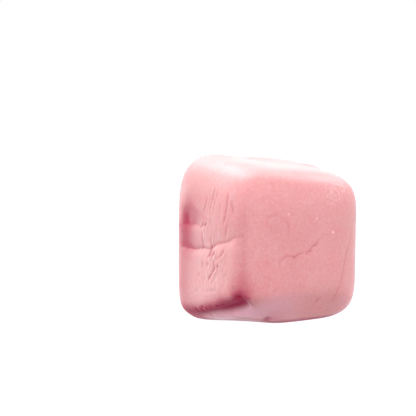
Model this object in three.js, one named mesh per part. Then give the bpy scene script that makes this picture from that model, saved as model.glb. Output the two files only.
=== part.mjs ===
// A cube of pink foam candy, cut from a pulled rope and resting on its base. Millimetres, +Z up.
// The knife came down on the -X end and met the board there. The smooth front face looks along -Y.
// The origin is the middle of the base.
import * as THREE from "three";
import { mergeVertices } from "three/addons/utils/BufferGeometryUtils.js";

// The block before it is pressed out of true.
const LENGTH = 20.98; // along X, from cut end to cut end
const DEPTH = 20.64; // along Y, across the rope
const HEIGHT = 22.24; // along Z
const FLAT = 0.165; // how far up the round underside is pressed flat

// The rounding of the edges, as exponents: the higher one is, the tighter the edge. Each softening is
// added at one end of the block and taken off at the other.
const PLAN_SQUARENESS = 5.17; // the four upright edges
const PLAN_SOFTENING = 1.37; // added at the back
const BASE_SQUARENESS = 6.6;
const BASE_SOFTENING = -1.11; // added at the far end, so it is tighter where the knife went in
const TOP_SQUARENESS = 5.11;
const TOP_SOFTENING = 0.91; // added at the far end
const FRONT_SOFTENING = 0.48; // taken off the top's exponent towards the front only

// How the soft block has settled, each as a shift at the top.
const TOP_FALL = 1.34; // the top drops by this either side of the middle, from -X to +X
const TOP_RISE = 1.61; // and climbs by this either side of the middle, from -Y to +Y
const LEAN_X = 0.637; // the top stands this far over to +X, and the base as far to -X
const LEAN_Y = -0.269;

// The slanting flats along the lower edges of the front and of the cut end, where the candy rolled over.
// reach is how far each is from the middle of the block.
const FLATS = [
  { outward: new THREE.Vector3(0, -0.792, -0.61), reach: 12.11 },
  { outward: new THREE.Vector3(-0.647, -0.339, -0.683), reach: 14.14 },
];
const FLAT_EDGE = 0.35; // how soft the edge of a flat is

// The near foot of the cut end, which curls up off the board.
const CURL = {
  lift: 2.19,
  from: new THREE.Vector3(-10, -9.7, 0),
  reach: new THREE.Vector3(4.48, 10.06, 3.5),
};

// The mesh has this many steps along each edge of the block.
const STEPS = { x: 22, y: 40, z: 33 };

// Grooves. A point is [along the face, height, depth], where along is Y on the cut end and X on the front.
// left and right are how far the two banks reach, seen from outside while walking along the path.
// A depth below zero is a ridge.
const UNDERCUT = { // where the knife met the board; it turns up into the near upright edge and dies out there
  face: "cut", left: 1.2, right: 0.85,
  path: [
    [7.5, 0.9, 0.25], [5.9, 0.7, 0.4], [3.5, 0.8, 0.6], [1.5, 1, 0.7], [-0.5, 1.4, 0.75],
    [-3.2, 1.9, 0.8], [-5.5, 2.5, 0.85], [-6.8, 3, 0.75], [-7.5, 3.6, 0.5], [-8, 4.4, 0.25],
    [-8.2, 5.4, 0.1], [-8.4, 7.5, 0.03], [-8.5, 10.6, 0],
  ],
};
const FOLD = { // across the whole of the cut end, where the upper half is drawn in over the lower one
  face: "cut", left: 1.5, right: 0.75,
  path: [
    [7.1, 10.8, 0.18], [5.2, 10.7, 0.3], [1.8, 10.65, 0.28], [-1.05, 10.8, 0.25], [-2.8, 11.3, 0.27],
    [-5.6, 11.8, 0.27], [-7.05, 12.35, 0.2], [-8.2, 12.55, 0.07], [-8.6, 12.85, 0],
  ],
};
const LEDGE = { // a shorter fold above it, towards the far edge
  face: "cut", left: 1, right: 0.4,
  path: [
    [7, 13.92, 0.08], [5.2, 13.98, 0.15], [3.6, 14, 0.17], [2.1, 14.05, 0.16], [1.1, 13.9, 0.1],
    [0.6, 13.6, 0],
  ],
};
const DRAG_MARKS = [ // down from the rounded top of the cut end, and the creases below the fold
  [[-2.4, 19.3, 0], [-2.4, 18.2, 0.1], [-2.2, 17, 0]],
  [[-5.85, 18.5, 0], [-5.9, 16.9, 0.1], [-5.7, 15.3, 0.12], [-5.2, 14, 0]],
  [[-5.95, 14.4, 0], [-5.8, 13, 0.12], [-5.6, 12.3, 0]],
  [[-2.1, 11, 0], [-1.8, 10.4, 0.16], [-1.6, 9.7, 0.15], [-0.9, 9.2, 0]],
  [
    [-2.5, 9.5, 0], [-2.9, 8.8, 0.12], [-3.1, 8.2, 0.15], [-2.05, 7.1, 0.12],
    [-1.6, 6.6, 0.15], [-1.2, 6.3, 0],
  ],
].map((path) => ({ face: "cut", left: 0.4, right: 0.4, path }));
const NEAR_BORDER = { // swollen along the near side of the cut end
  face: "cut", left: 0.7, right: 0.9,
  path: [
    [-7, 17, 0], [-7.2, 14.5, -0.08], [-7.3, 12.2, -0.12], [-7.3, 10.1, -0.18], [-7.2, 8.1, -0.2],
    [-7, 6.3, -0.16], [-6.6, 5.2, -0.08], [-6.3, 4.5, 0],
  ],
};
const BORDER_DIP = { // which sets it off from the near edge
  face: "cut", left: 0.7, right: 0.7,
  path: [
    [-8.3, 17, 0], [-8.4, 14.5, 0.08], [-8.4, 12.2, 0.13], [-8.4, 10.2, 0.15], [-8.35, 8.1, 0.13],
    [-8.25, 6.4, 0.08], [-8.2, 5.2, 0],
  ],
};
const LONG_CREASE = { // near the far end of the front face
  face: "front", left: 0.5, right: 0.5,
  path: [[7.95, 12, 0], [6.65, 9, 0.08], [5.55, 5.8, 0.1], [4.25, 2.9, 0]],
};
const GROOVES = [UNDERCUT, FOLD, LEDGE, ...DRAG_MARKS, NEAR_BORDER, BORDER_DIP, LONG_CREASE];

// Hollows pressed into the skin, and swellings, which have a depth below zero. The centre is [along, height],
// and on the top it is [x, y].
const HOLLOWS = [
  { face: "cut", centre: [5.4, 15.4], radius: 1.9, depth: 0.2 }, // above the short ledge
  { face: "cut", centre: [5.2, 14.7], radius: 1, depth: 0.15 },
  { face: "cut", centre: [5.4, 12.2], radius: 1.4, depth: 0.15 }, // and between it and the fold
  { face: "top", centre: [-5.9, 4], radius: 2.5, depth: -0.3 }, // a low hump over the cut end
  { face: "top", centre: [-1.5, 3], radius: 3.2, depth: 0.2 },
  { face: "top", centre: [7.3, -0.2], radius: 1.7, depth: -0.25 }, // a small rise at the far end
];

const FACES = {
  cut: { along: "y", up: "z", outward: new THREE.Vector3(-1, 0, 0) },
  front: { along: "x", up: "z", outward: new THREE.Vector3(0, -1, 0) },
  top: { along: "x", up: "y", outward: new THREE.Vector3(0, 0, 1) },
};

const half = new THREE.Vector3(LENGTH / 2, DEPTH / 2, HEIGHT / 2);
const middle = new THREE.Vector3(0, 0, half.z - FLAT);

// The rounded block. p is a point on the cube from -1 to 1, and so is the result.
function roundedBlock(p) {
  const way = p.clone().setLength(Math.SQRT2); // its x or y is 1 along an edge of the cube
  const upright = PLAN_SQUARENESS + PLAN_SOFTENING * way.y;
  const top = TOP_SQUARENESS + TOP_SOFTENING * way.x + FRONT_SOFTENING * Math.min(way.y, 0);
  const base = BASE_SQUARENESS + BASE_SOFTENING * way.x;
  const level = p.z > 0 ? top : base;
  const plan = (Math.abs(p.x) ** upright + Math.abs(p.y) ** upright) ** (1 / upright);
  const reach = (plan ** level + Math.abs(p.z) ** level) ** (1 / level);
  return p.clone().divideScalar(reach);
}

// Pushes a point back onto a slanting flat, if it stands beyond it.
function pressed(place, flat) {
  const beyond = place.clone().sub(middle).dot(flat.outward) - flat.reach;
  const push = FLAT_EDGE * Math.log1p(Math.exp(beyond / FLAT_EDGE));
  return place.addScaledVector(flat.outward, -push);
}

// The block as it has settled: the top slopes, and the whole of it leans. Its underside stays round here.
function settled(u) {
  const raised = (u.z + 1) / 2;
  const place = u.clone().multiply(half).add(middle);
  place.z += raised * (TOP_RISE * u.y - TOP_FALL * u.x);
  place.x += LEAN_X * u.z;
  place.y += LEAN_Y * u.z;
  for (const flat of FLATS) pressed(place, flat);
  const away = place.clone().sub(CURL.from).divide(CURL.reach);
  place.z += CURL.lift * Math.exp(-away.lengthSq());
  return place;
}

function settledGeometry() {
  const box = new THREE.BoxGeometry(2, 2, 2, STEPS.x, STEPS.y, STEPS.z);
  box.deleteAttribute("uv");
  box.deleteAttribute("normal");
  const geometry = mergeVertices(box);
  const place = geometry.getAttribute("position");
  const point = new THREE.Vector3();
  for (let i = 0; i < place.count; i++) {
    point.fromBufferAttribute(place, i);
    place.setXYZ(i, ...settled(roundedBlock(point)));
  }
  geometry.computeVertexNormals();
  return geometry;
}

function verticesOf(geometry, name) {
  const values = geometry.getAttribute(name);
  return Array.from({ length: values.count }, (_, i) => new THREE.Vector3().fromBufferAttribute(values, i));
}

// The point of the skin that lies at a place on one face.
function onSkin(skin, face, alongFace, upFace) {
  const { along, up, outward } = FACES[face];
  const distance = (p) => Math.hypot(p[along] - alongFace, p[up] - upFace);
  const side = skin.filter((p) => p.clone().sub(middle).dot(outward) > 0);
  return side.reduce((best, p) => (distance(p) < distance(best) ? p : best));
}

// How deep a groove is at a point of the skin with this normal.
function grooveDepth(groove, p, normal) {
  let nearest = { distance: Infinity };
  groove.lines.forEach((line, i) => {
    const t = line.closestPointToPointParameter(p, true);
    const offset = p.clone().sub(line.at(t, new THREE.Vector3()));
    if (offset.length() < nearest.distance) {
      const [first, last] = groove.depths.slice(i, i + 2);
      nearest = { distance: offset.length(), offset, line, depth: THREE.MathUtils.lerp(first, last, t) };
    }
  });
  const leftward = normal.clone().cross(nearest.line.delta(new THREE.Vector3())).normalize();
  const side = leftward.dot(nearest.offset.normalize());
  const bank = THREE.MathUtils.lerp(groove.right, groove.left, (1 + side) / 2);
  return nearest.depth * Math.exp(-((nearest.distance / bank) ** 2));
}

function laidGroove(skin, { face, left, right, path }) {
  const spots = path.map(([along, height]) => onSkin(skin, face, along, height));
  const lines = spots.slice(1).map((spot, i) => new THREE.Line3(spots[i], spot));
  return { left, right, lines, depths: path.map((point) => point[2]) };
}

function hollowDepth({ spot, radius, depth }, p) {
  return depth * Math.exp(-((p.distanceTo(spot) / radius) ** 2));
}

function candyGeometry() {
  const geometry = settledGeometry();
  const skin = verticesOf(geometry, "position");
  const normals = verticesOf(geometry, "normal");
  const grooves = GROOVES.map((groove) => laidGroove(skin, groove));
  const hollows = HOLLOWS.map((hollow) => ({ ...hollow, spot: onSkin(skin, hollow.face, ...hollow.centre) }));
  const place = geometry.getAttribute("position");
  skin.forEach((p, i) => {
    let depth = 0;
    for (const groove of grooves) depth += grooveDepth(groove, p, normals[i]);
    for (const hollow of hollows) depth += hollowDepth(hollow, p);
    const moved = p.clone().addScaledVector(normals[i], -depth);
    place.setXYZ(i, moved.x, moved.y, Math.max(moved.z, 0));
  });
  geometry.computeBoundingBox();
  const { min, max } = geometry.boundingBox;
  geometry.translate(-(min.x + max.x) / 2, -(min.y + max.y) / 2, -min.z);
  geometry.computeVertexNormals();
  return geometry;
}

const candy = new THREE.Mesh(
  candyGeometry(),
  new THREE.MeshStandardMaterial({ color: 0xf2b0b2, roughness: 0.55, metalness: 0 }),
);
candy.name = "foam_candy";

const model = new THREE.Group();
model.add(candy);

export default model;
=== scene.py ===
import math

import bpy
import numpy as np
from mathutils import Matrix, Vector, noise


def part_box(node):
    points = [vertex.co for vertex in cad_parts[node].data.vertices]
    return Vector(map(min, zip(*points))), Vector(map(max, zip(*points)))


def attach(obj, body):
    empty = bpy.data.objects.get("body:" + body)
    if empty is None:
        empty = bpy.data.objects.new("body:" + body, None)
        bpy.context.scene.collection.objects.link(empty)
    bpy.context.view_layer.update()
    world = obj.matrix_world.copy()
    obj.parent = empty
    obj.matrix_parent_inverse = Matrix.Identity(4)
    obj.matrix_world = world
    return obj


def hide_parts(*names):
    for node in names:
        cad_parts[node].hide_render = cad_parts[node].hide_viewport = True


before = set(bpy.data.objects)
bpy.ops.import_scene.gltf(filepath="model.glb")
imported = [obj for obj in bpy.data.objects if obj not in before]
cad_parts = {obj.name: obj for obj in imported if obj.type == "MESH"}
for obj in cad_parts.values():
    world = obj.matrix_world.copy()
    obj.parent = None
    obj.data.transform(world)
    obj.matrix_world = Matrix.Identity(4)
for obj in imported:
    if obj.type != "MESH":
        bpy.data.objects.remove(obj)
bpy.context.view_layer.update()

# Foam candy
# One cube of aerated sugar foam, cut from a pulled pink rope while it was still soft and left to settle
# on its base. Its skin is satin smooth on the rope's own sides and creased on the -X end, where the
# knife dragged down through it and met the board.

FACE_STEPS = {"x": 104, "y": 136, "z": 144}  # mesh steps along each edge of the block

# The block before it settles, in millimetres, and the rounding of its edges: the higher, the tighter.
HALF = np.array([10.49, 10.32, 11.12])
FLAT = 0.165  # how far up the round underside is pressed flat
MIDDLE = np.array([0, 0, HALF[2] - FLAT])
PLAN_SQUARENESS = 5.17
PLAN_SOFTENING = 1.37  # the upright edges are rounder by this at the front, and tighter behind
BASE_SQUARENESS = 6.6
BASE_SOFTENING = -1.11  # the base is tighter by this where the knife went in, and rounder at the far end
TOP_SQUARENESS = 5.11
TOP_SOFTENING = 0.91  # the top is rounder by this where the knife went in, and tighter at the far end
FRONT_SOFTENING = 0.48  # and rounder still along the front

# How it settled: shifts at the top, in millimetres.
TOP_FALL = 1.34
TOP_RISE = 1.61
LEAN = np.array([0.637, -0.269, 0.0])

# The lower edges it rolled over: which way each slanting flat looks, and how far out it is from the middle.
FLATS = [(np.array([0, -0.792, -0.61]), 12.11), (np.array([-0.647, -0.339, -0.683]), 14.14)]
FLAT_EDGE = 0.35  # how soft the edge of a flat is

# The near foot of the cut end curls up off the board.
CURL = 2.19
CURL_FROM = np.array([-10, -9.7, 0])
CURL_REACH = np.array([4.48, 10.06, 3.5])


def block_surface():
    """Points over a cube from -1 to 1 and the quads between them, with every shared point made once."""
    steps = np.array([FACE_STEPS[k] for k in "xyz"])
    corners = []
    for axis in range(3):
        across, up = [k for k in range(3) if k != axis]
        i, j = np.meshgrid(np.arange(steps[across]), np.arange(steps[up]), indexing="ij")
        for end in (0, steps[axis]):
            face = np.zeros(i.shape + (4, 3), int)
            face[..., axis] = end
            for corner, (di, dj) in enumerate([(0, 0), (1, 0), (1, 1), (0, 1)]):
                face[..., corner, across] = i + di
                face[..., corner, up] = j + dj
            outward = (end > 0) == (axis != 1)
            corners.append((face if outward else face[..., ::-1, :]).reshape(-1, 3))
    lattice, quads = np.unique(np.concatenate(corners), axis=0, return_inverse=True)
    return lattice / steps * 2 - 1, quads.reshape(-1, 4)


def rounded(p):
    """The cube's points drawn in to a block with round edges, still from -1 to 1."""
    x, y, z = np.abs(p).T
    endward, backward, _ = (p / np.linalg.norm(p, axis=1)[:, None] * math.sqrt(2)).T  # 1 along an edge
    upright = PLAN_SQUARENESS + PLAN_SOFTENING * backward
    plan = (x ** upright + y ** upright) ** (1 / upright)
    top = TOP_SQUARENESS + TOP_SOFTENING * endward + FRONT_SOFTENING * np.minimum(backward, 0)
    base = BASE_SQUARENESS + BASE_SOFTENING * endward
    level = np.where(p[:, 2] > 0, top, base)
    return p / ((plan ** level + z ** level) ** (1 / level))[:, None]


def settled(u):
    """The block in millimetres as it has sunk and leaned, its underside still round."""
    raised = (u[:, 2] + 1) / 2
    place = u * HALF + LEAN * u[:, 2:] + MIDDLE
    place[:, 2] += raised * (TOP_RISE * u[:, 1] - TOP_FALL * u[:, 0])
    for looks, reach in FLATS:
        beyond = (place - MIDDLE) @ looks - reach
        place -= looks * FLAT_EDGE * np.logaddexp(0, beyond / FLAT_EDGE)[:, None]
    away = (place - CURL_FROM) / CURL_REACH
    place[:, 2] += CURL * np.exp(-(away ** 2).sum(axis=1))
    return place


cube, quads = block_surface()
skin = settled(rounded(cube))
mesh = bpy.data.meshes.new("foam_candy_skin")
mesh.from_pydata(skin, [], quads)
outward = np.zeros(skin.size)
mesh.vertices.foreach_get("normal", outward)
outward = outward.reshape(-1, 3)

# The two columns of a point that run along each face, and which way the face looks.
FACES = {
    "cut": (1, 2, np.array([-1, 0, 0])),
    "front": (0, 2, np.array([0, -1, 0])),
    "top": (0, 1, np.array([0, 0, 1])),
}
WOBBLE = 0.1  # how far the listed lines wander, in millimetres
WOBBLE_LENGTH = 0.9
WOBBLE_SHIFTS = (0, 40, 80)  # so that they wander another way along each axis


def noise_over(points, shift=0):
    """Smooth noise from -1 to 1 at each point. Each shift gives another such noise."""
    return np.array([noise.noise(Vector(p)) for p in points + shift])


wander = np.stack([noise_over(skin / WOBBLE_LENGTH, shift) for shift in WOBBLE_SHIFTS], axis=1)
wavering = skin + WOBBLE * wander


def on_skin(face, along, up):
    """The point of the skin at a place on one face, from the middle of the base."""
    first, second, looks = FACES[face]
    side = skin[(skin - MIDDLE) @ looks > 0]
    away = np.hypot(side[:, first] - along, side[:, second] - up)
    return side[away.argmin()]


def beside(face, path):
    """Where each point of the skin is from a line laid on one face: how far off, on which side, from 1
    straight to the left to -1 straight to the right, and the depth of the line where it is nearest. The
    path is of (along, up, depth), and its sides are as seen from outside while walking along it."""
    spots = [on_skin(face, along, up) for along, up, _ in path]
    depths = [point[2] for point in path]
    nearest = np.full(len(skin), np.inf)
    side = np.zeros(len(skin))
    depth = np.zeros(len(skin))
    for start, end, first, last in zip(spots, spots[1:], depths, depths[1:]):
        run = end - start
        t = np.clip((wavering - start) @ run / (run @ run), 0, 1)
        offset = wavering - start - t[:, None] * run
        away = np.linalg.norm(offset, axis=1)
        leftward = np.cross(outward, run / np.linalg.norm(run))
        closer = away < nearest
        nearest = np.where(closer, away, nearest)
        side = np.where(closer, (leftward * offset).sum(1) / np.maximum(away, 1e-6), side)
        depth = np.where(closer, first + t * (last - first), depth)
    return nearest, side, depth


def groove(face, left, right, path):
    """How much of a groove there is at each point of the skin. left and right are how far its banks reach."""
    away, side, depth = beside(face, path)
    bank = right + (left - right) * (1 + side) / 2
    return depth * np.exp(-((away / bank) ** 2))


def hollow(face, centre, radius, depth):
    """How much of a round hollow there is at each point of the skin. A depth below zero is a swelling."""
    away = np.linalg.norm(skin - on_skin(face, *centre), axis=1)
    return depth * np.exp(-((away / radius) ** 2))


def patch(centre, reach):
    """A patch of the skin with a soft edge: 1 over its middle, and 0 well beyond its reach."""
    return np.exp(-((((skin - centre) / reach) ** 2).sum(axis=1)) ** 2)


def ramp(value, start, end):
    """0 up to the start, 1 from the end on, and even between them."""
    return np.clip((value - start) / (end - start), 0, 1)


# What follows is laid on the skin bit by bit. pressed is how far a point has been pressed in, in millimetres.
# The other amount is the shade painted there in crimson, in creases, hollows and grooves: it is nearly all
# crimson from 2.
# Both use grooves and hollows, whose depth is then the amount of either. A hollow is written as its face, its
# centre on that, its radius and its depth, and like ones share their face.

# The undercut where the knife met the board. It turns up into the near upright edge and dies out there.
UNDERCUT = [
    (7.5, 0.9, 0.25), (5.9, 0.7, 0.4), (3.5, 0.8, 0.6), (1.5, 1.0, 0.7), (-0.5, 1.4, 0.75), (-3.2, 1.9, 0.8),
    (-5.5, 2.5, 0.85), (-6.8, 3.0, 0.75), (-7.5, 3.6, 0.5), (-8.0, 4.4, 0.25), (-8.2, 5.4, 0.1),
    (-8.4, 7.5, 0.03), (-8.5, 10.6, 0)]
UNDERCUT_BANKS = (1.2, 0.85)  # the upper one and the lower one
pressed = groove("cut", *UNDERCUT_BANKS, UNDERCUT)

# Crimson shade is painted just above the undercut's bottom, and darkest towards its near end.
PAINTED_SHADE_ABOVE = 0.55
PAINTED_SHADE_BANKS = (1.1, 1.1)
PAINTED_SHADE_GAIN = 2.1  # how much shade is painted there for each millimetre of the undercut's depth
DARKER_PAINTED_SHADE = [
    (5.5, 0.8, 0.1), (3.5, 1.0, 0.3), (1.0, 1.3, 0.15), (-1.3, 2.0, 0.35), (-2.8, 2.5, 0.6), (-4.6, 3.1, 0.9),
    (-6.3, 3.0, 1.2), (-7.3, 3.5, 1.0), (-8.1, 4.7, 0.45), (-8.3, 6.4, 0.2), (-8.3, 8.5, 0)]
HARDER_BANKS = (1.6, 1.6)
PAINTED_SHADE_FAR_END = ("cut", (6.8, 1.2), 1.2, 0.5)
above_bottom = [(along, up + PAINTED_SHADE_ABOVE, PAINTED_SHADE_GAIN * depth) for along, up, depth in UNDERCUT]
painted_shade = groove("cut", *PAINTED_SHADE_BANKS, above_bottom)
painted_shade += groove("cut", *HARDER_BANKS, DARKER_PAINTED_SHADE)
painted_shade += hollow(*PAINTED_SHADE_FAR_END)

# That stops short at the lip below, whose line is of (along, up) from the near edge to the far one.
LIP = [
    (-9.5, 4.0), (-8.6, 3.65), (-7.7, 3.3), (-6.75, 2.85), (-5.8, 2.5), (-4.6, 2.05), (-3.45, 1.7),
    (-1.95, 1.45), (-0.1, 1.15), (1.7, 0.85), (3.5, 0.55), (5.0, 0.15), (6.5, -0.3)]
LIP_EDGE = 0.9  # how soft its edge is
LIP_PALENESS = 0.95
BLOTCHINESS = 0.3  # how much the colour varies from spot to spot
BLOTCH_SIZE = 0.3
lip = np.interp(skin[:, 1], *zip(*LIP))
under_lip = ramp(skin[:, 2] - lip, LIP_EDGE / 2, -LIP_EDGE / 2)
painted_shade *= (1 - LIP_PALENESS * under_lip) * (1 + BLOTCHINESS * noise_over(skin / BLOTCH_SIZE, shift=20))

# Shade is painted on the near foot round the undercut's end, but less on the crest of the foot itself.
PAINTED_SHADE_FOOT = [("cut", (-8.2, 3.9), 0.7, 0.25), ("front", (-8.6, 4.8), 1.3, 0.15)]
EASED_CREST = ("front", (-8.45, 3.75), 0.8, 0.4)
painted_shade += sum(hollow(*spot) for spot in PAINTED_SHADE_FOOT)
painted_shade = np.maximum(painted_shade - hollow(*EASED_CREST), 0)

# Where the skin tore and puckered as it was pinched there, with shade painted in and round them.
TEARS = [((1.1, 2.6), 0.2, 0.3), ((-7.6, 4.3), 0.4, 0.4), ((-2.9, 3.0), 0.2, 0.15), ((-3.9, 3.1), 0.2, 0.1)]
PUCKERS = [
    [(1.7, 2.5, 0.1), (1.7, 1.9, 0.2), (1.4, 1.4, 0)],
    [(3.1, 2.3, 0.1), (3.1, 1.8, 0.15), (2.9, 1.4, 0)],
    [(0.1, 2.5, 0.1), (0.0, 2.0, 0.12), (-0.4, 1.7, 0)],
]
TEAR_RIM = 1.2  # how far a tear's painted shade reaches, for each millimetre of its radius
TEAR_TINT = 0.5
PUCKER_BANKS = (0.14, 0.18)
PUCKER_GAIN = 1.5
for centre, radius, depth in TEARS:
    pressed += hollow("cut", centre, radius, depth)
    painted_shade += hollow("cut", centre, radius * TEAR_RIM, TEAR_TINT)
for path in PUCKERS:
    pucker = groove("cut", *PUCKER_BANKS, path)
    pressed += pucker
    painted_shade += PUCKER_GAIN * pucker

# The far part of the cut end is pressed in above two ledges: a short one, and the fold that crosses
# the whole end.
DENTS = [((5.4, 15.4), 1.9, 0.2), ((5.2, 14.7), 1.0, 0.15), ((5.4, 12.2), 1.4, 0.15)]
LEDGE = [
    (7.0, 13.92, 0.08), (5.2, 13.98, 0.15), (3.6, 14.0, 0.17), (2.1, 14.05, 0.16), (1.1, 13.9, 0.1),
    (0.6, 13.6, 0)]
FOLD = [
    (7.1, 10.8, 0.2), (5.2, 10.73, 0.35), (3.3, 10.6, 0.35), (1.8, 10.65, 0.3), (0.35, 10.77, 0.3),
    (-1.05, 10.8, 0.28), (-2.15, 11.05, 0.3), (-2.8, 11.3, 0.3), (-4.15, 11.57, 0.3), (-5.6, 11.8, 0.3),
    (-6.5, 12.0, 0.28), (-7.05, 12.35, 0.22), (-7.6, 12.5, 0.16), (-8.2, 12.55, 0.08), (-8.6, 12.85, 0)]
LEDGE_BANKS = (1.0, 0.4)
CREASE_IN_FOLD = 0.3  # the share of the fold's depth that is a sharp crease
CREASE_BANKS = (0.35, 0.14)
SLOPE_OF_FOLD = 0.8  # and the share that slopes in to it from both sides
SLOPE_BANKS = (1.5, 0.75)
for centre, radius, depth in DENTS:
    pressed += hollow("cut", centre, radius, depth)
pressed += groove("cut", *LEDGE_BANKS, LEDGE)
pressed += CREASE_IN_FOLD * groove("cut", *CREASE_BANKS, FOLD)
pressed += SLOPE_OF_FOLD * groove("cut", *SLOPE_BANKS, FOLD)

# Crimson shade is painted in the dent above the short ledge, in a band along the far edge below it, and in
# thin lines along the ledge and the fold.
LEDGE_HEIGHT = 13.95
LEDGE_EDGE = 0.3
PAINTED_SHADE_DENT = [
    (3.7, 20.4, 0), (3.7, 19.2, 0.07), (3.8, 18.0, 0.2), (4.2, 17.1, 0.42), (4.5, 16.4, 0.62),
    (4.9, 15.6, 0.68), (5.4, 14.2, 0.66)]
DENT_BOTTOM = [(5.5, 16.8, 0), (5.6, 15.8, 0.2), (5.7, 14.9, 0.45), (5.8, 14.0, 0.6)]
FAR_BAND = [
    (5.6, 14.2, 1.15), (5.6, 13.3, 0.85), (5.5, 12.0, 0.75), (5.6, 11.2, 0.85), (5.6, 10.9, 0.6),
    (5.6, 10.3, 0.5), (5.9, 8.8, 0.34), (6.3, 6.5, 0.34), (6.3, 4.5, 0.33), (6.2, 2.5, 0.28)]
ALONG_LEDGE = [(6.5, 14.1, 0.2), (5.1, 14.1, 0.3), (3.9, 14.15, 0.1), (3.0, 14.2, 0.15), (0.9, 13.9, 0)]
ALONG_FOLD = [(7.0, 10.9, 0.15), (4.2, 10.8, 0.1), (2.2, 10.8, 0.1), (-1.1, 11, 0)]
PAINTED_SHADE_DENT_BANKS = (3.7, 1.9)
DENT_BOTTOM_BANKS = (1.1, 1.1)
FAR_BAND_BANKS = (2.5, 2.3)
ALONG_LEDGE_BANKS = (0.22, 0.12)
ALONG_FOLD_BANKS = (0.5, 0.12)
FOLD_LINE_BANKS = (0.26, 0.1)
FOLD_GAIN = 1.2
above_ledge = ramp(skin[:, 2] - LEDGE_HEIGHT, -LEDGE_EDGE / 2, LEDGE_EDGE / 2)
dent = groove("cut", *PAINTED_SHADE_DENT_BANKS, PAINTED_SHADE_DENT) + groove("cut", *DENT_BOTTOM_BANKS, DENT_BOTTOM)
painted_shade += above_ledge * dent
painted_shade += (1 - above_ledge) * groove("cut", *FAR_BAND_BANKS, FAR_BAND)
painted_shade += groove("cut", *ALONG_LEDGE_BANKS, ALONG_LEDGE)
painted_shade += FOLD_GAIN * groove("cut", *FOLD_LINE_BANKS, FOLD)
painted_shade += groove("cut", *ALONG_FOLD_BANKS, ALONG_FOLD)

# Drag marks down from the rounded top of the cut end, and the creases below the fold.
DRAG_MARKS = [
    [(-5.84, 18.5, 0), (-5.92, 17.9, 0.14), (-5.93, 16.9, 0.14), (-5.73, 15.3, 0.17), (-5.55, 14.75, 0.17),
     (-5.2, 14.0, 0)],
    [(-6.7, 17.6, 0), (-6.8, 16.9, 0.12), (-7.1, 16.1, 0.14), (-7.1, 15.4, 0)],
    [(-5.97, 14.4, 0), (-5.97, 13.8, 0.1), (-5.77, 13.0, 0.16), (-5.6, 12.3, 0)],
    [(-2.4, 19.3, 0), (-2.4, 18.6, 0.12), (-2.4, 17.8, 0.12), (-2.2, 17.0, 0)],
    [(-3.35, 19.2, 0), (-3.45, 18.3, 0.1), (-3.4, 17.7, 0)],
    [(-0.8, 18.2, 0), (-0.75, 17.5, 0.07), (-0.6, 16.8, 0.07), (-0.1, 16.0, 0.09), (0.1, 15.3, 0)],
    [(-2.0, 17.8, 0), (-2.0, 16.7, 0.06), (-1.8, 15.6, 0)],
    [(-4.55, 17.3, 0), (-4.45, 16.5, 0.08), (-4.25, 15.7, 0)],
    [(0.25, 13.1, 0), (0.4, 12.2, 0.1), (0.4, 11.0, 0.14), (0.4, 10.7, 0)],
    [(-2.1, 12.6, 0), (-1.85, 11.9, 0.14), (-1.9, 11.2, 0.12), (-1.9, 10.9, 0)],
    [(-2.05, 14.95, 0), (-1.9, 14.5, 0.1), (-1.8, 14.0, 0)],
    [(0.0, 14.3, 0), (0.1, 14.15, 0.12), (0.7, 13.7, 0.14), (1.0, 13.4, 0)],
    [(-1.0, 14.4, 0), (-0.5, 14.0, 0.24), (-0.2, 13.7, 0)],
]
CREASES = [
    [(-2.0, 11.2, 0), (-1.95, 11.0, 0.12), (-1.8, 10.6, 0.26), (-1.6, 9.9, 0.26), (-0.9, 9.4, 0)],
    [(-3.1, 10.5, 0), (-2.8, 10.1, 0.26), (-2.3, 9.6, 0)],
    [(-5.6, 11.0, 0), (-5.3, 10.5, 0.14), (-4.95, 10.1, 0.13), (-4.1, 9.6, 0.05), (-3.5, 9.4, 0)],
    [(0.1, 9.3, 0), (0.25, 8.7, 0.18), (0.3, 8.2, 0.12), (0.4, 7.8, 0)],
    [(-2.5, 9.5, 0), (-2.65, 9.3, 0.08), (-2.9, 8.8, 0.18), (-3.15, 8.2, 0.22), (-2.6, 7.7, 0.18),
     (-2.05, 7.1, 0.16), (-1.6, 6.6, 0.22), (-1.25, 6.3, 0)],
    [(-1.6, 9.0, 0), (-1.15, 8.65, 0.14), (-0.7, 8.4, 0)],
    [(-4.0, 8.9, 0), (-4.0, 8.4, 0.22), (-4.1, 8.2, 0)],
    [(-5.4, 8.4, 0), (-5.2, 7.8, 0.06), (-4.8, 7.3, 0)],
    [(1.2, 7.4, 0), (1.35, 7.05, 0.12), (1.5, 6.7, 0)],
    [(-4.4, 5.5, 0), (-2.75, 5.2, 0.08), (-1.3, 5.0, 0.07), (0.2, 4.6, 0)],
    [(1.4, 4.9, 0), (2.3, 4.7, 0.06), (3.5, 4.4, 0)],
]
MARK_REACH = 0.23
MARK_SHARE = 0.7  # how deep a mark goes, as a share of the depths above
RIDGE_SHARE = 0.4  # how high a ridge the knife raised beside it, as such a share
RIDGE_OFF = 0.5  # how far that ridge is to the near side of the mark
# How much shade is painted into each mark and crease.
MARK_GAIN = 1.9
for path in DRAG_MARKS + CREASES:
    away, side, much = beside("cut", path)
    mark = much * np.exp(-((away / MARK_REACH) ** 2))
    ridge = much * np.maximum(side, 0) * np.exp(-(((away - RIDGE_OFF) / MARK_REACH) ** 2))
    pressed += MARK_SHARE * mark - RIDGE_SHARE * ridge
    painted_shade += MARK_GAIN * mark

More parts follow.
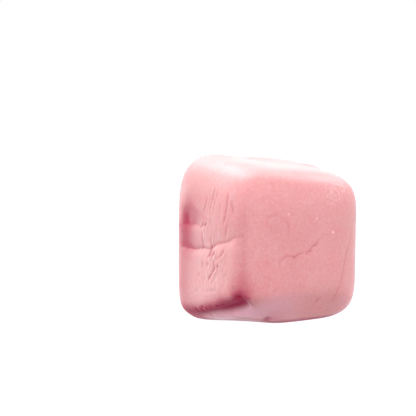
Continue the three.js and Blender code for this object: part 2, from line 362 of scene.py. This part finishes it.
# Among the drag marks the upper half is finely streaked, and the lower half finely crumpled.
STREAKED_CENTRE = (-11.0, -3.4, 14.5)
STREAKED_REACH = (3.5, 4.6, 5.5)
STREAK_SIZE = (3.0, 0.55, 2.6)
STREAK_SLANT = 0.12
STREAK_DEPTH = 0.05
# How much shade is painted into the streaks' hollows.
STREAK_TINT = 0.15
CRUMPLED_CENTRE = (-11.0, -3.0, 8.0)
CRUMPLED_REACH = (3.5, 5.0, 4.0)
CRUMPLE_SIZE = (2.0, 0.6, 0.9)
CRUMPLE_DEPTH = 0.06
streaked = patch(STREAKED_CENTRE, STREAKED_REACH)
streaks = noise_over((wavering + STREAK_SLANT * skin[:, 2:]) / STREAK_SIZE)
crumpled = patch(CRUMPLED_CENTRE, CRUMPLED_REACH) * noise_over(wavering / CRUMPLE_SIZE, shift=7)
pressed += STREAK_DEPTH * streaked * streaks
painted_shade += STREAK_TINT * streaked * np.maximum(streaks, 0)
pressed += CRUMPLE_DEPTH * crumpled

# The cut end's swollen near border, and the dip that sets it off from the near edge. Shade is painted in the
# dip, and a little high on the near edge.
NEAR_BORDER = [
    (-7.0, 17.0, 0), (-7.2, 14.5, -0.08), (-7.3, 12.2, -0.12), (-7.3, 10.1, -0.18), (-7.2, 8.1, -0.2),
    (-7.0, 6.3, -0.16), (-6.6, 5.2, -0.08), (-6.3, 4.5, 0)]
BORDER_DIP = [
    (-8.3, 17.0, 0), (-8.4, 14.5, 0.08), (-8.4, 12.2, 0.13), (-8.4, 10.2, 0.15), (-8.35, 8.1, 0.13),
    (-8.25, 6.4, 0.08), (-8.2, 5.2, 0)]
BORDER_BANKS = (0.7, 0.9)
DIP_BANKS = (0.7, 0.7)
DIP_BLOTCH_SIZE = 0.35
PAINTED_SHADE_EDGE = ("front", (-8.3, 17.5), 2.2, 0.07)
dip = groove("cut", *DIP_BANKS, BORDER_DIP)
pressed += groove("cut", *BORDER_BANKS, NEAR_BORDER)
pressed += dip
painted_shade += dip * (1 + noise_over(skin / DIP_BLOTCH_SIZE, shift=50))
painted_shade += hollow(*PAINTED_SHADE_EDGE)

# The front face: a hair crack across it, two faint arcs above it, the long crease near its far end, a short
# crack low down beside that, and one near the cut end.
HAIR_CRACKS = [
    [(-4.85, 8.8, 0), (-4.05, 9.1, 0.4), (-3.35, 9.6, 0.6), (-2.55, 9.4, 0.5), (-2.05, 9.2, 0.9),
     (-1.45, 9.6, 0.7), (-0.65, 9.9, 0.4), (-0.25, 9.6, 0.3), (0.11, 9.8, 1.2), (0.61, 10.0, 1.1),
     (0.7, 10.4, 0.5), (1.05, 10.6, 1.2), (1.55, 10.8, 1.0), (1.95, 11.5, 0.3), (2.65, 12.0, 0.25),
     (3.95, 12.2, 0.15)],
    [(-6.45, 15.3, 0), (-5.45, 15.15, 0.3), (-4.65, 15.4, 0.4), (-3.95, 14.9, 0.25), (-3.25, 14.4, 0.3),
     (-2.85, 13.8, 0.5), (-2.85, 12.8, 0.3), (-3.15, 12.1, 0)],
    [(-5.75, 14.2, 0), (-5.35, 13.5, 0.4), (-5.35, 12.9, 0)],
    [(8.05, 12.9, 0), (7.45, 10.8, 0.35), (6.65, 8.9, 0.6), (6.25, 7.6, 0.4), (5.55, 5.8, 0.5),
     (4.95, 4.1, 0.6), (4.25, 2.9, 0.3), (4.05, 2.3, 0)],
    [(1.55, 2.3, 0), (1.95, 3.0, 0.9), (2.55, 3.5, 0)],
    [(-6.85, 9.1, 0), (-6.25, 8.9, 0.3), (-5.75, 8.5, 0)],
]
LONG_CREASE = [(7.95, 12, 0), (6.65, 9, 0.04), (5.55, 5.8, 0.06), (4.25, 2.9, 0)]
CRACK_BANKS = (0.15, 0.13)
CRACK_DEPTH = 0.06
# How much shade is painted into a crack.
CRACK_TINT = 0.45
LONG_CREASE_BANKS = (0.5, 0.3)
for path in HAIR_CRACKS:
    crack = groove("front", *CRACK_BANKS, path)
    pressed += CRACK_DEPTH * crack
    painted_shade += CRACK_TINT * crack
pressed += groove("front", *LONG_CREASE_BANKS, LONG_CREASE)

# A nick in the front's lower edge, with shade painted in it.
NICK = ("front", (-5.05, 1.0), 0.4, 0.2)
PAINTED_SHADE_NICK = ("front", (-5.05, 0.9), 0.5, 0.6)
pressed += hollow(*NICK)
painted_shade += hollow(*PAINTED_SHADE_NICK)

# Grains of sugar that stand proud of the front: three large ones, and a crumbly patch high up.
LARGE_GRAINS = [((4.37, 12.24), 0.17, 0.7), ((1.7, 14.34), 0.1, 0.7), ((-2.65, 15.3), 0.1, 0.7)]
CRUMBLY_SPOTS = [((4.9, 17.6), 1.3, 0.8), ((7.2, 18.6), 1.5, 0.7)]
CRUMB_SIZE = 0.4
CRUMB_GAIN = 1.2
CRUMB_LIMIT = 0.4  # no crumb is more than this
GRAIN_HEIGHT = 0.05
grains_and_painted_light = sum(hollow("front", *grain) for grain in LARGE_GRAINS)
crumbly = sum(hollow("front", *spot) for spot in CRUMBLY_SPOTS)
grains_and_painted_light += crumbly * np.clip(CRUMB_GAIN * noise_over(skin / CRUMB_SIZE, shift=60), 0, CRUMB_LIMIT)
pressed -= GRAIN_HEIGHT * grains_and_painted_light

# The slanting lower flats, and the cut end below its lip, are painted pale and bluish as light from the board
# below falls on them. This painted light is strongest towards the near foot and faint towards the far end,
# and it is left off where the skin turns under. Each pair below is the start and the end of a ramp: ALONG and
# UP are places in millimetres, and FACING is how squarely the skin faces that way, from 0 to 1.
FLAT_BOARD_LIGHT_OUT = (-0.6, 0.2)  # how far out from a flat
CUT_BOARD_LIGHT_UP = (4.0, 2.5)
CUT_BOARD_LIGHT_FACING = (0, 0.4)
UNDERSIDE_FACING = (0.8, 0.9)
UNDERSIDE_ALONG = (-8.2, -7.0)
BOARD_LIGHT_ALONG = (1.0, -8.5)
BOARD_LIGHT_FAINTEST = 0.05
FOOT_WITHOUT_BOARD_LIGHT = ("front", (-8.0, 3.4), 1.1, 0.7)
slant = sum(ramp((skin - MIDDLE) @ looks - reach, *FLAT_BOARD_LIGHT_OUT) for looks, reach in FLATS)
below_cut = under_lip * ramp(skin[:, 2], *CUT_BOARD_LIGHT_UP) * ramp(-outward[:, 0], *CUT_BOARD_LIGHT_FACING)
turned_under = ramp(-outward[:, 2], *UNDERSIDE_FACING) * ramp(skin[:, 0], *UNDERSIDE_ALONG)
painted_board_light = np.clip(slant + below_cut, 0, 1)
painted_board_light *= BOARD_LIGHT_FAINTEST + (1 - BOARD_LIGHT_FAINTEST) * ramp(skin[:, 0], *BOARD_LIGHT_ALONG)
painted_board_light *= np.maximum(1 - turned_under - hollow(*FOOT_WITHOUT_BOARD_LIGHT), 0)

# The far foot of the front gets a little of that painted light too, and it and the very lowest skin are
# lightened further with the sugar colour, as more painted light.
FAR_FOOT_ALONG = (5, 8)
FAR_FOOT_UP = (4.8, 3.0)
FAR_FOOT_FACING = (0, 0.5)
FAR_FOOT_BOARD_LIGHT = 0.15
FAR_FOOT_PAINTED_LIGHT = 0.14
LOWEST_UP = (1.9, 1.1)
LOWEST_PAINTED_LIGHT = 0.15
far_foot = ramp(skin[:, 0], *FAR_FOOT_ALONG) * ramp(skin[:, 2], *FAR_FOOT_UP)
far_foot *= ramp(-outward[:, 1], *FAR_FOOT_FACING)
painted_board_light += FAR_FOOT_BOARD_LIGHT * far_foot
grains_and_painted_light += LOWEST_PAINTED_LIGHT * painted_board_light * ramp(skin[:, 2], *LOWEST_UP) + FAR_FOOT_PAINTED_LIGHT * far_foot

# Shade is painted in a thread along the very bottom, where the skin meets the board, and faintly over the
# crest of the near foot. The underside has a little painted shade too.
FOOT_CREST_BANKS = (0.5, 0.5)
FOOT_CREST = [
    (-8.8, 4.2, 0.1), (-8.4, 3.7, 0.25), (-8.1, 3.4, 0.35), (-7.8, 3.15, 0.3), (-7.35, 2.75, 0.1),
    (-6.7, 2.2, 0)]
BOTTOM_THREAD_UP = (0.6, 0.3)
BOTTOM_THREAD_TINT = 0.5
UNDERSIDE_TINT = 0.2
PAINTED_SHADE_BOTTOM = ("front", (-4.0, 0.9), 1.6, 0.22)
painted_shade += BOTTOM_THREAD_TINT * ramp(skin[:, 2], *BOTTOM_THREAD_UP)
painted_shade += UNDERSIDE_TINT * turned_under + hollow(*PAINTED_SHADE_BOTTOM)
painted_shade += groove("front", *FOOT_CREST_BANKS, FOOT_CREST)

# The pink varies: pale is above 0 where the skin is paler, and below 0 where it is pinker. The cut end is
# paler than the smooth sides, except at its top. Painted highlights and painted shade are added to it below.
PALE_CENTRE = (-11.0, -0.5, 7.5)
PALE_REACH = (3.0, 8.0, 7.2)
pale = patch(PALE_CENTRE, PALE_REACH)

# A highlight is painted where the skin turns over to the top, round the foot of the hump and behind the
# shoulder, and on the far upper corner of the cut end.
SHOULDER = [
    (-8.3, 7.0, 0), (-8.1, 5.0, 0.9), (-7.6, 0.5, 1.5), (-7.3, -4.0, 2.2), (-7.0, -6.4, 2.3),
    (-5.2, -7.3, 1.4), (0.6, -8.3, 1.7), (4.6, -8.4, 2.9), (6.6, -8.4, 2.6), (8.0, -7.6, 1.2),
    (8.6, -6.6, 0.6), (9.0, -6.0, 0)]
HUMP_FOOT = [(-7.3, 4.5, 0.4), (-6.9, 3.2, 1.3), (-6.2, 1.6, 1.7), (-5.2, 0.3, 1.1), (-4.2, 0.0, 0.3)]
BEHIND_SHOULDER = [
    (-7.8, -4.8, 0.5), (-6.5, -4.9, 0.4), (-5.4, -5.3, 1.1), (-3.8, -5.8, 1.0), (-1.4, -5.5, 0.9),
    (1.5, -4.9, 0)]
SHOULDER_BANKS = (1.1, 1.1)
HUMP_FOOT_BANKS = (1.3, 1.3)
BEHIND_SHOULDER_BANKS = (1.0, 1.0)
FAR_CORNER = ("cut", (6.3, 18.3), 1.5, 1.5)
pale += groove("top", *SHOULDER_BANKS, SHOULDER)
pale += groove("top", *HUMP_FOOT_BANKS, HUMP_FOOT)
pale += groove("top", *BEHIND_SHOULDER_BANKS, BEHIND_SHOULDER)
pale += hollow(*FAR_CORNER)

# It is pinker high and low on the front. Shade is painted pinker where it turns under, low towards the far
# end, and on the far part of the top.
PINKER_SPOTS = [((-3.5, 15.5), 5.0, 0.55), ((-4.0, 6.0), 4.0, 0.45)]
FAR_LOW_UP = (4.5, 3.0)
FAR_LOW_ALONG = (-3, 1)
FAR_TOP_FACING = (0.5, 0.8)
FAR_TOP_BACK = (-2, 0.5)
FAR_TOP_ALONG = (-4.5, -1.5)
UNDERSIDE_PAINTED_SHADE = 1.5
FAR_LOW_PAINTED_SHADE = 0.8
FAR_TOP_PAINTED_SHADE = 1.2
far_low = ramp(skin[:, 2], *FAR_LOW_UP) * ramp(skin[:, 0], *FAR_LOW_ALONG)
far_top = ramp(outward[:, 2], *FAR_TOP_FACING) * ramp(skin[:, 1], *FAR_TOP_BACK)
far_top *= ramp(skin[:, 0], *FAR_TOP_ALONG)
pale -= sum(hollow("front", *spot) for spot in PINKER_SPOTS)
pale -= UNDERSIDE_PAINTED_SHADE * turned_under + FAR_LOW_PAINTED_SHADE * far_low + FAR_TOP_PAINTED_SHADE * far_top

# The top has a low hump over the cut end, a dip beside that, and a small rise at the far end.
TOP_SWELLINGS = [((-5.9, 4), 2.5, -0.3), ((-1.5, 3), 3.2, 0.2), ((7.3, -0.2), 1.7, -0.25)]
for centre, radius, depth in TOP_SWELLINGS:
    pressed += hollow("top", centre, radius, depth)

skin -= outward * pressed[:, None]
skin[:, 2] = np.maximum(skin[:, 2], 0)

# The skin takes up the solid's own box.
low, high = (np.array(corner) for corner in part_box("foam_candy"))
skin = low + (skin - skin.min(axis=0)) / np.ptp(skin, axis=0) * (high - low)
mesh.vertices.foreach_set("co", skin.ravel())
mesh.shade_smooth()

CRIMSON_GAIN = 1.2  # how fast the painted shade turns the pink to crimson
TINTS = {
    "crease": np.tanh(CRIMSON_GAIN * np.maximum(painted_shade, 0)),
    "grains_and_painted_light": grains_and_painted_light,
    "streaked": streaked,
    "painted_board_light": painted_board_light,
    "pale": pale,
}
for name, amounts in TINTS.items():
    mesh.attributes.new(name, "FLOAT", "POINT").data.foreach_set("value", amounts)

scene = bpy.context.scene
candy = bpy.data.objects.new("foam_candy_skin", mesh)
scene.collection.objects.link(candy)


class Wire:
    """A socket in a material. Sums of wires and numbers add their Math nodes."""

    tree = None

    def __init__(self, socket):
        self.socket = socket

    @classmethod
    def node(cls, kind, settings=None, **inputs):
        """Any node: its settings first, then its sockets' values or links. A socket is given by its name,
        with _ for a space, or by _ and its number."""
        made = cls.tree.nodes.new(kind)
        for name, value in (settings or {}).items():
            setattr(made, name, value)
        for name, value in inputs.items():
            key = int(name[1:]) if name[1:].isdigit() else name.replace("_", " ")
            if isinstance(value, Wire):
                cls.tree.links.new(value.socket, made.inputs[key])
            else:
                made.inputs[key].default_value = value
        return made

    @classmethod
    def math(cls, operation, a, b):
        return cls(cls.node("ShaderNodeMath", {"operation": operation}, _0=a, _1=b).outputs[0])

    def __add__(self, other):
        return self.math("ADD", self, other)

    def __sub__(self, other):
        return self.math("SUBTRACT", self, other)

    def __rsub__(self, other):
        return self.math("SUBTRACT", other, self)

    def __mul__(self, other):
        return self.math("MULTIPLY", self, other)

    __radd__ = __add__
    __rmul__ = __mul__


# The foam's colours, and how far light spreads in it: by colour, and then in metres.
PINK = (0.325, 0.1235, 0.126, 1)
PALE_PINK = (0.352, 0.1675, 0.171, 1)
# The pale lilac of the painted light from the board below.
BOARD_LIGHT_COLOUR = (0.39, 0.205, 0.25, 1)
# The sugar grains' colour, also used as painted light on the lowest skin.
SUGAR_AND_PAINTED_LIGHT = (0.8, 0.55, 0.57, 1)
# The crimson of the painted shade.
CRIMSON = (0.195, 0.009, 0.035, 1)
GLOW = (1.0, 0.35, 0.3)
GLOW_DEPTH = 0.0006
CRIMSON_GLOW_DEPTH = 0.0004

# How much of the paler pink the clouds, the flecks and the pale places add, and how much is taken off in all.
CLOUD_SHARE = 0.7
FLECK_SHARE = 2.0
PALE_SHARE = 0.6
PINK_SHARE = 0.85

SUGAR_AND_LIGHT_SHARE = 0.5  # how much of the colour at a grain, and at the painted light low down, is the sugar colour
BUMP_HEIGHT = 0.00005
PEBBLE_SHARE = 0.5
THREAD_SHARE = 0.5
THREAD_STRETCH = (1, 1, 0.12)  # the fine threads are drawn out upright


def foam():
    """Satin pink sugar foam: pale and a little see-through, with painted crimson shade in its creases and
    hollows and painted light from the board on its lower flats.
    """
    material = bpy.data.materials.new("foam")
    material.use_nodes = True
    Wire.tree = material.node_tree
    Wire.tree.nodes.clear()
    place = Wire(Wire.node("ShaderNodeTexCoord").outputs["Object"])
    # The first of these is the painted shade, the second the sugar grains with painted light low down, the
    # fourth painted light from the board, and the fifth paler and pinker tone with painted highlights and
    # shade.
    crease, grain, drawn, board_light, paler = (
        Wire(Wire.node("ShaderNodeAttribute", {"attribute_name": name}).outputs["Fac"]) for name in TINTS)

    cloud = Wire(Wire.node("ShaderNodeTexNoise", Vector=place, Scale=280.0, Detail=3.0).outputs["Fac"])
    fleck = Wire(Wire.node("ShaderNodeTexNoise", Vector=place, Scale=3000.0, Detail=3.0).outputs["Fac"])
    mottle = Wire(Wire.node(
        "ShaderNodeMix", {"data_type": "RGBA", "clamp_factor": False},
        Factor=CLOUD_SHARE * cloud + FLECK_SHARE * fleck + PALE_SHARE * paler - PINK_SHARE,
        A=PINK, B=PALE_PINK).outputs["Result"])
    board_lit = Wire(Wire.node(
        "ShaderNodeMix", {"data_type": "RGBA"}, Factor=board_light, A=mottle, B=BOARD_LIGHT_COLOUR).outputs["Result"])
    sugared_and_lit = Wire(Wire.node(
        "ShaderNodeMix", {"data_type": "RGBA"},
        Factor=grain * SUGAR_AND_LIGHT_SHARE, A=board_lit, B=SUGAR_AND_PAINTED_LIGHT).outputs["Result"])

    pebble = Wire(Wire.node("ShaderNodeTexNoise", Vector=place, Scale=2200.0, Detail=2.0).outputs["Fac"])
    drawn_out = Wire(Wire.node(
        "ShaderNodeVectorMath", {"operation": "MULTIPLY"}, _0=place, _1=THREAD_STRETCH).outputs["Vector"])
    threads = Wire(Wire.node("ShaderNodeTexNoise", Vector=drawn_out, Scale=3600.0, Detail=3.0).outputs["Fac"])
    bump = Wire(Wire.node(
        "ShaderNodeBump", Strength=0.5, Distance=BUMP_HEIGHT,
        Height=PEBBLE_SHARE * pebble + THREAD_SHARE * drawn * threads).outputs["Normal"])

    smooth = Wire(Wire.node(
        "ShaderNodeBsdfPrincipled", Base_Color=sugared_and_lit, Roughness=0.5, Normal=bump, IOR=1.4,
        Subsurface_Weight=1.0, Subsurface_Radius=GLOW, Subsurface_Scale=GLOW_DEPTH,
        Sheen_Weight=0.28, Sheen_Roughness=0.4).outputs[0])
    # The painted shade's own shader: crimson, duller and with less shine.
    painted_shade_bsdf = Wire(Wire.node(
        "ShaderNodeBsdfPrincipled", Base_Color=CRIMSON, Roughness=0.6, Normal=bump, IOR=1.4,
        Specular_IOR_Level=0.2, Subsurface_Weight=1.0, Subsurface_Radius=GLOW,
        Subsurface_Scale=CRIMSON_GLOW_DEPTH).outputs[0])
    surface = Wire(Wire.node("ShaderNodeMixShader", _0=crease, _1=smooth, _2=painted_shade_bsdf).outputs[0])
    Wire.node("ShaderNodeOutputMaterial", Surface=surface)
    return material


mesh.materials.append(foam())
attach(candy, "root")
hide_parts("foam_candy")

# Floor
# A broad matt board that the candy rests on. It glows an even white, as a light table does, so it shows no
# edge and hardly a shadow.
FLOOR_REACH = 40.0
FLOOR_CORNERS = [(-1, -1), (1, -1), (1, 1), (-1, 1)]
BOARD_FINISH = {
    "Base Color": (0.1, 0.1, 0.1, 1),
    "Roughness": 0.9,
    "Emission Color": (0.95, 0.95, 1, 1),
    "Emission Strength": 1.05,
}
sheet = bpy.data.meshes.new("floor")
sheet.from_pydata([(x * FLOOR_REACH, y * FLOOR_REACH, 0) for x, y in FLOOR_CORNERS], [], [(0, 1, 2, 3)])
floor = bpy.data.objects.new("floor", sheet)
scene.collection.objects.link(floor)
board = bpy.data.materials.new("white_board")
board.use_nodes = True
for socket, value in BOARD_FINISH.items():
    board.node_tree.nodes["Principled BSDF"].inputs[socket].default_value = value
sheet.materials.append(board)

# Light
# A white tent stands all round the candy and lights it from every side. The broad soft lights reach only
# the candy, and the one in front is the strongest.
scene.view_settings.view_transform = "Standard"
TENT_LIGHT = {"Color": (1, 1, 1, 1), "Strength": 1.0}
tent = bpy.data.worlds.new("tent")
tent.use_nodes = True
for socket, value in TENT_LIGHT.items():
    tent.node_tree.nodes["Background"].inputs[socket].default_value = value
scene.world = tent

lit_by_lamps = bpy.data.collections.new("lit_by_lamps")
lit_by_lamps.objects.link(candy)


def soft_light(name, strength, spread, turn, rise):
    """A distant soft light. turn and rise say where it stands, as the camera's do."""
    lamp = bpy.data.lights.new(name, "SUN")
    lamp.energy = strength
    lamp.angle = math.radians(spread)
    lit = bpy.data.objects.new(name, lamp)
    lit.rotation_euler = (math.radians(90 - rise), 0, math.radians(turn))
    scene.collection.objects.link(lit)
    lit.light_linking.receiver_collection = lit_by_lamps


soft_light("back_light", strength=1.0, spread=60, turn=170, rise=60)
soft_light("far_left_light", strength=2.65, spread=60, turn=-150, rise=50)
soft_light("left_light", strength=2.6, spread=60, turn=-90, rise=20)
soft_light("front_light", strength=6.65, spread=90, turn=-5, rise=15)
soft_light("right_light", strength=0.65, spread=60, turn=75, rise=10)

# Camera
# It looks down a little at the edge between the cut end and the front, from a long way off for the candy's
# size. It keeps level with the horizon but for a small roll, and the candy lies off the picture's middle.
MM = 0.001
CAMERA_TURN = -29.98
CAMERA_RISE = 4.5
CAMERA_ROLL = -2.84
CAMERA_DISTANCE = 0.26
SENSOR_WIDTH = 36
FRAME_SIZE = 416
PIXELS_PER_METRE = 7070  # at the candy's middle
MIDDLE_IN_FRAME = (268.71, 240.98)  # the pixel where the middle of the candy comes
middle = Vector(MIDDLE * MM)
turn, rise, roll = (math.radians(a) for a in (CAMERA_TURN, CAMERA_RISE, CAMERA_ROLL))
back = Vector((math.sin(turn) * math.cos(rise), -math.cos(turn) * math.cos(rise), math.sin(rise)))
level = Vector((math.cos(turn), math.sin(turn), 0))
upward = back.cross(level)
right = level * math.cos(roll) + upward * math.sin(roll)
up = upward * math.cos(roll) - level * math.sin(roll)
focal = PIXELS_PER_METRE * CAMERA_DISTANCE
off_right = (FRAME_SIZE / 2 - MIDDLE_IN_FRAME[0]) / focal
off_up = (MIDDLE_IN_FRAME[1] - FRAME_SIZE / 2) / focal
z = (back - right * off_right - up * off_up).normalized()
x = up.cross(z).normalized()
y = z.cross(x)
lens = bpy.data.cameras.new("camera")
lens.sensor_width = SENSOR_WIDTH
lens.lens = lens.sensor_width * focal / FRAME_SIZE
lens.clip_start = 0.01
camera = bpy.data.objects.new("camera", lens)
turned = Matrix((x, y, z)).transposed().to_4x4()
camera.matrix_world = Matrix.Translation(middle + back * CAMERA_DISTANCE) @ turned
scene.collection.objects.link(camera)
scene.camera = camera
